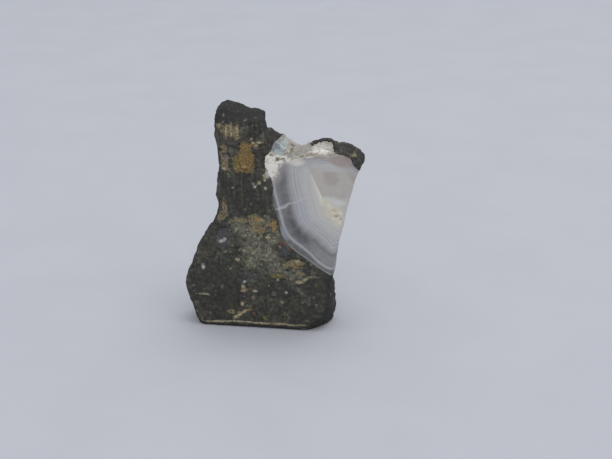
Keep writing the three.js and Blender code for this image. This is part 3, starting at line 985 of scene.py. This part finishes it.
@dataclass
class MineralPiece:
    """One mineral of the specimen, made from a copy of its solid in the model."""

    node: str
    name: str
    slot: str
    material: bpy.types.Material
    voxel: float  # spacing of its fine mesh, in millimetres
    smoothing: int  # rounds of smoothing on its broken faces
    reliefs: tuple[Relief, ...]
    distances: Mapping[str, str] = field(default_factory=dict)  # attribute: the node measured to
    patches: Mapping[str, Sequence[Patch]] = field(default_factory=dict)  # attribute: its spots
    distance_limit: float = 8.0  # distances are held up to here, in millimetres
    patch_depth: float = 2.0  # how far behind the front face the spots reach, in millimetres
    seam_reach: float = 0.5  # closer to a neighbour than this is a seam
    seam_fill: float = 0.2  # how far a seam's wall grows towards the neighbour
    merge_within: float = 0.002  # corners of the solid this close are one
    broken_behind: Point = (0.1, 1.1)  # between these it grows rough, behind the front
    broken_above: Point = (0.1, 0.9)  # and above the foot
    sawn_behind: Point = (0.05, 0.3)  # between these the front's ripple ends
    sawn_above: Point = (0.2, 1.2)  # and between these it starts
    obj: bpy.types.Object = field(init=False)

    def build(self) -> bpy.types.Object:
        """Makes the piece's mesh.

        Returns:
            The piece.
        """
        self._copy_solid()
        self._refine()
        self._weigh()
        self._smooth()
        for relief in self.reliefs:
            self._press(relief)
        self._close_seams()
        self._stay_in_box()
        for attribute, node in self.distances.items():
            self._hold(attribute, self._distance_to([node], self.distance_limit))
        for attribute, patches in self.patches.items():
            depths = [patch.inside_at(corners_of(self.obj), self.patch_depth) for patch in patches]
            self._hold(attribute, np.max(depths, axis=0))
        self._attach()
        return self.obj

    def _copy_solid(self) -> None:
        """Copies the solid and merges its loose triangles into one skin."""
        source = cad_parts[self.node]
        self.obj = bpy.data.objects.new(self.name, source.data.copy())
        bpy.context.collection.objects.link(self.obj)
        self.obj.data.materials.clear()
        self.obj.data.materials.append(self.material)
        select_only(self.obj)
        bpy.ops.object.mode_set(mode="EDIT")
        bpy.ops.mesh.select_all(action="SELECT")
        bpy.ops.mesh.remove_doubles(threshold=self.merge_within * MM)
        bpy.ops.object.mode_set(mode="OBJECT")

    def _modify(self, kind: str, settings: Mapping[str, Any]) -> None:
        """Adds a modifier and applies it.

        Args:
            kind: the modifier's type.
            settings: its properties.
        """
        modifier = self.obj.modifiers.new(kind.lower(), kind)
        for name, value in settings.items():
            setattr(modifier, name, value)
        select_only(self.obj)
        bpy.ops.object.modifier_apply(modifier=modifier.name)

    def _refine(self) -> None:
        """Rebuilds the skin as an even mesh, fine enough for its relief."""
        size = self.voxel * MM
        self._modify("REMESH", {"mode": "VOXEL", "voxel_size": size, "use_smooth_shade": True})

    def _weigh(self) -> None:
        """Records which corners lie on a sawn face, on a broken one and beside a neighbour."""
        at = corners_of(self.obj)
        behind = at[:, 1] - FRONT
        above = at[:, 2]
        broken = eased(*self.broken_behind, behind) * eased(*self.broken_above, above)
        sawn = (1 - eased(*self.sawn_behind, behind)) * eased(*self.sawn_above, above)
        self._group(Surface.BROKEN.value, broken)
        self._group(Surface.SAWN.value, sawn)
        neighbours = [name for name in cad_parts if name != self.node]
        gap = self._distance_to(neighbours, self.seam_reach)
        self._group("seam", (gap < self.seam_reach).astype(float))

    def _distance_to(self, nodes: Sequence[str], most: float) -> np.ndarray:
        """How far each corner lies from the model's solids.

        Args:
            nodes: the solids' names.
            most: the largest distance that matters, in millimetres.

        Returns:
            Millimetres for each corner, at the most that value.
        """
        corners: list[Vector] = []
        faces: list[tuple[int, ...]] = []
        for name in nodes:
            start = len(corners)
            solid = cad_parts[name].data
            corners += [vertex.co.copy() for vertex in solid.vertices]
            faces += [tuple(start + i for i in face.vertices) for face in solid.polygons]
        tree = BVHTree.FromPolygons(corners, faces)
        found = (tree.find_nearest(vertex.co, most * MM)[3] for vertex in self.obj.data.vertices)
        return np.array([most if gap is None else gap / MM for gap in found])

    def _hold(self, attribute: str, values: np.ndarray) -> None:
        """Gives the mesh an attribute with a number for each corner."""
        self.obj.data.attributes.new(attribute, "FLOAT", "POINT").data.foreach_set("value", values)

    def _group(self, name: str, weights: np.ndarray) -> None:
        """Makes a vertex group, with its weights in sixteenths.

        Args:
            name: the group's name.
            weights: one for each corner, from 0 to 1.
        """
        group = self.obj.vertex_groups.new(name=name)
        steps = np.rint(weights * 16).astype(int)
        for step in range(1, 17):
            members = np.nonzero(steps == step)[0]
            group.add(members.tolist(), step / 16, "REPLACE")

    def _smooth(self) -> None:
        """Rounds the model's facets on the broken faces."""
        where = Surface.BROKEN.value
        self._modify("SMOOTH", {"factor": 0.5, "iterations": self.smoothing, "vertex_group": where})

    def _press(self, relief: Relief) -> None:
        """Gives the skin one relief.

        Args:
            relief: the relief.
        """
        settings = {"texture": relief.texture(), "texture_coords": "LOCAL", "mid_level": 0.5}
        self._modify(
            "DISPLACE",
            {**settings, "strength": relief.height * MM, "vertex_group": relief.where.value},
        )

    def _close_seams(self) -> None:
        """Grows the walls that face a neighbour, so that hardly a gap shows."""
        strength = self.seam_fill * MM
        self._modify("DISPLACE", {"strength": strength, "mid_level": 0.0, "vertex_group": "seam"})

    def _stay_in_box(self) -> None:
        """Flattens what stands past the model's box, the sawn front and the foot."""
        low, high = (np.array(corner) / MM for corner in CAD_BOX)
        flat = np.clip(corners_of(self.obj), low, high) * MM
        self.obj.data.vertices.foreach_set("co", flat.ravel())
        self.obj.data.update()

    def _attach(self) -> None:
        """Drops the working groups and takes the solid's place in the frame."""
        self.obj.vertex_groups.clear()
        select_only(self.obj)
        bpy.ops.object.shade_smooth()
        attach(self.obj, "root")
        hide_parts(self.node)


@dataclass
class AgatePiece(MineralPiece):
    """The agate, whose mesh also carries how far in each corner lies, band by band."""

    growth: str = "growth"
    cavity_depth: float = 27.0
    middle: Point = (19.3, 39.5)
    bright_line: tuple[Point, ...] = (
        (19.2, 19.8), (17.2, 19.0), (15.9, 18.6), (14.4, 19.2), (12.8, 20.3), (11.4, 21.6),
        (10.2, 22.9), (8.4, 24.3), (6.6, 25.7), (5.2, 27.0), (4.2, 28.6), (3.4, 30.5), (3.0, 32.3),
        (2.5, 34.4), (2.1, 36.2), (1.6, 38.2), (1.2, 40.0), (0.9, 42.6), (0.6, 45.2), (0.2, 48.0),
    )
    top_line: tuple[Point, ...] = (
        (0.1, 42.9), (1.9, 45.3), (2.7, 46.9), (4.9, 47.9), (8.1, 49.0), (12.3, 50.0), (15.6, 50.2),
        (18.1, 50.3), (19.6, 49.6), (21.2, 47.6), (23.4, 46.3),
    )
    top_start: float = 3.6  # the band that lies against the crust, in millimetres of growth
    top_pace: float = 1.65  # bands are this much closer together below the crust
    blend: float = 2.4  # how widely the bands of the two sides round into each other

    def build(self) -> bpy.types.Object:
        """Makes the agate's mesh and its growth attribute.

        Returns:
            The piece.
        """
        super().build()
        self._hold(self.growth, self._growth(corners_of(self.obj)))
        return self.obj

    def _growth(self, at: np.ndarray) -> np.ndarray:
        """How far in the bands each corner lies, in millimetres from the bright line.

        Args:
            at: corners in millimetres.

        Returns:
            One number for each corner, less than 0 between the line and the rock.
        """
        behind = np.clip((at[:, 1] - FRONT) / self.cavity_depth, 0, 0.95)
        narrowing = np.sqrt(1 - behind**2)
        middle = np.array(self.middle)
        flat = middle + (at[:, [0, 2]] - middle) / narrowing[:, None]
        side = self._from_line(flat, self.bright_line)
        # Further up, the bands lie closer to the wall. Further down, the dark band is wider.
        upper = eased(29.0, 34.0, flat[:, 1])
        lower = 1 - eased(22.0, 26.0, flat[:, 1])
        side = side + 0.75 * upper * eased(0.5, 4.0, side)
        side = side - 0.35 * lower * eased(1.0, 2.5, side) * (1 - eased(3.5, 5.0, side))
        top = self.top_start + self.top_pace * np.abs(self._from_line(flat, self.top_line))
        share = np.clip(0.5 + 0.5 * (top - side) / self.blend, 0, 1)
        return top + (side - top) * share - self.blend * share * (1 - share)

    @staticmethod
    def _from_line(points: np.ndarray, corners: Sequence[Point]) -> np.ndarray:
        """Distance from each point to a line whose corners are rounded off.

        Args:
            points: one row each.
            corners: the line's corners, in an order that has its inner side on the right.

        Returns:
            Millimetres, less than 0 on the line's left.
        """
        line = np.array(corners, float)
        for _ in range(3):
            near, far = 0.25 * line[:-1], 0.25 * line[1:]
            cut = np.stack([3 * near + far, near + 3 * far], 1).reshape(-1, 2)
            line = np.vstack([line[:1], cut, line[-1:]])
        nearest = np.full(len(points), np.inf)
        side = np.ones(len(points))
        for start, end in zip(line[:-1], line[1:]):
            along = end - start
            away = points - start
            share = np.clip((away @ along) / (along @ along), 0, 1)
            gap = np.linalg.norm(away - share[:, None] * along, axis=1)
            closer = gap < nearest
            turn = along[1] * away[:, 0] - along[0] * away[:, 1]
            nearest = np.where(closer, gap, nearest)
            side = np.where(closer, np.where(turn < 0, -1.0, 1.0), side)
        return nearest * side


# The studio


@dataclass(frozen=True)
class Lamp:
    """A soft square light."""

    name: str
    place: Place  # in metres
    towards: Place
    size: float  # its width, in metres
    power: float  # in watts

    def hang(self) -> None:
        """Hangs it and turns it to what it faces."""
        bpy.ops.object.light_add(type="AREA", location=self.place)
        light = bpy.context.object
        light.name = self.name
        light.data.shape = "SQUARE"
        light.data.size = self.size
        light.data.energy = self.power
        light.rotation_mode = "QUATERNION"
        way = Vector(self.towards) - Vector(self.place)
        light.rotation_quaternion = way.to_track_quat("-Z", "Y")


@dataclass
class Studio:
    """The floor, the lights and the camera."""

    floor_radius: float = 1.5  # in metres
    lamps: tuple[Lamp, ...] = (
        Lamp("top_light", (0.35, 0.0, 1.8), (0.0, 0.0, 0.02), 1.3, 16.0),
        Lamp("front_light", (0.3, -1.6, 1.4), (0.0, 0.0, 0.03), 1.2, 5.0),
    )
    azimuth: float = 8.0  # the camera's turn and tilt, in degrees
    elevation: float = 22.0
    camera_place: Place = (0.04634, -0.27289, 0.13694)
    sensor: float = 36.0  # its width and the focal length, in millimetres
    lens: float = 65.36
    sky: Colour = (0.85, 0.87, 0.92, 1.0)
    sky_strength: float = 0.95

    def build(self) -> None:
        """Makes everything round the specimen."""
        self._floor()
        for lamp in self.lamps:
            lamp.hang()
        self._sky()
        self._camera()

    def _floor(self) -> None:
        """A flat pale card that the specimen stands on."""
        bpy.ops.mesh.primitive_circle_add(vertices=96, radius=self.floor_radius, fill_type="NGON")
        floor = bpy.context.object
        floor.name = "floor"
        floor.data.materials.append(FloorFinish().dress())

    def _sky(self) -> None:
        """Even light from all round."""
        world = bpy.data.worlds.new("light_tent")
        world.use_nodes = True
        background = world.node_tree.nodes["Background"]
        background.inputs[0].default_value = self.sky
        background.inputs[1].default_value = self.sky_strength
        bpy.context.scene.world = world
        bpy.context.scene.view_settings.view_transform = "Standard"

    def _camera(self) -> None:
        """The camera, above the front face and a little to its right."""
        bpy.ops.object.camera_add(location=self.camera_place)
        camera = bpy.context.object
        camera.name = "camera"
        camera.data.sensor_width = self.sensor
        camera.data.lens = self.lens
        camera.data.clip_start = 0.01
        camera.data.clip_end = 20.0
        turn, tilt = math.radians(self.azimuth), math.radians(self.elevation)
        level = math.cos(tilt)
        ahead = Vector((-math.sin(turn) * level, math.cos(turn) * level, -math.sin(tilt)))
        camera.rotation_mode = "QUATERNION"
        camera.rotation_quaternion = ahead.to_track_quat("-Z", "Y")
        bpy.context.scene.camera = camera


def make_pieces() -> list[MineralPiece]:
    """The specimen's four pieces, with their finishes.

    Returns:
        The pieces, not yet built.
    """
    rock = AndesiteFinish().dress()
    rock_reliefs = (
        Relief(Grain.LUMPS, 2.6, 0.55),
        Relief(Grain.LUMPS, 1.0, 0.34),
        Relief(Grain.CRYSTALS, 0.75, 0.2),
        Relief(Grain.LUMPS, 0.8, 0.05, Surface.SAWN),
    )
    rock_patches = {stain.name: stain.patches for stain in STAINS if stain.broad} | ZONES
    agate_reliefs = (Relief(Grain.LUMPS, 3.0, 0.3), Relief(Grain.LUMPS, 5.0, 0.06, Surface.SAWN))
    agate_distances = {"rind": "andesite_host_rock", "veil": "white_quartz_crust"}
    crust_reliefs = (
        Relief(Grain.LUMPS, 1.1, 0.5, Surface.EVERYWHERE),
        Relief(Grain.CRYSTALS, 0.6, 0.3, Surface.EVERYWHERE),
    )
    return [
        MineralPiece(
            "andesite_host_rock", "andesite_host", "andesite", rock,
            voxel=0.3, smoothing=4, reliefs=rock_reliefs, patches=rock_patches,
        ),
        MineralPiece(
            "andesite_roof_remnant", "andesite_roof", "andesite", rock,
            voxel=0.2, smoothing=6, reliefs=rock_reliefs, patches=rock_patches,
        ),
        AgatePiece(
            "banded_agate", "agate", "agate", AgateFinish("growth", "rind", "veil").dress(),
            voxel=0.25, smoothing=8, reliefs=agate_reliefs, distances=agate_distances,
        ),
        MineralPiece(
            "white_quartz_crust", "quartz_crust", "quartz_crust", CrustFinish().dress(),
            voxel=0.17, smoothing=2, reliefs=crust_reliefs,
        ),
    ]


def main() -> None:
    """Builds the specimen and the studio."""
    logging.basicConfig(level=logging.INFO, format="%(name)s: %(message)s")
    Studio().build()
    log.info("studio ready")
    for piece in make_pieces():
        obj = piece.build()
        log.info("%s: %d faces", obj.name, len(obj.data.polygons))


if __name__ == "__main__":
    main()
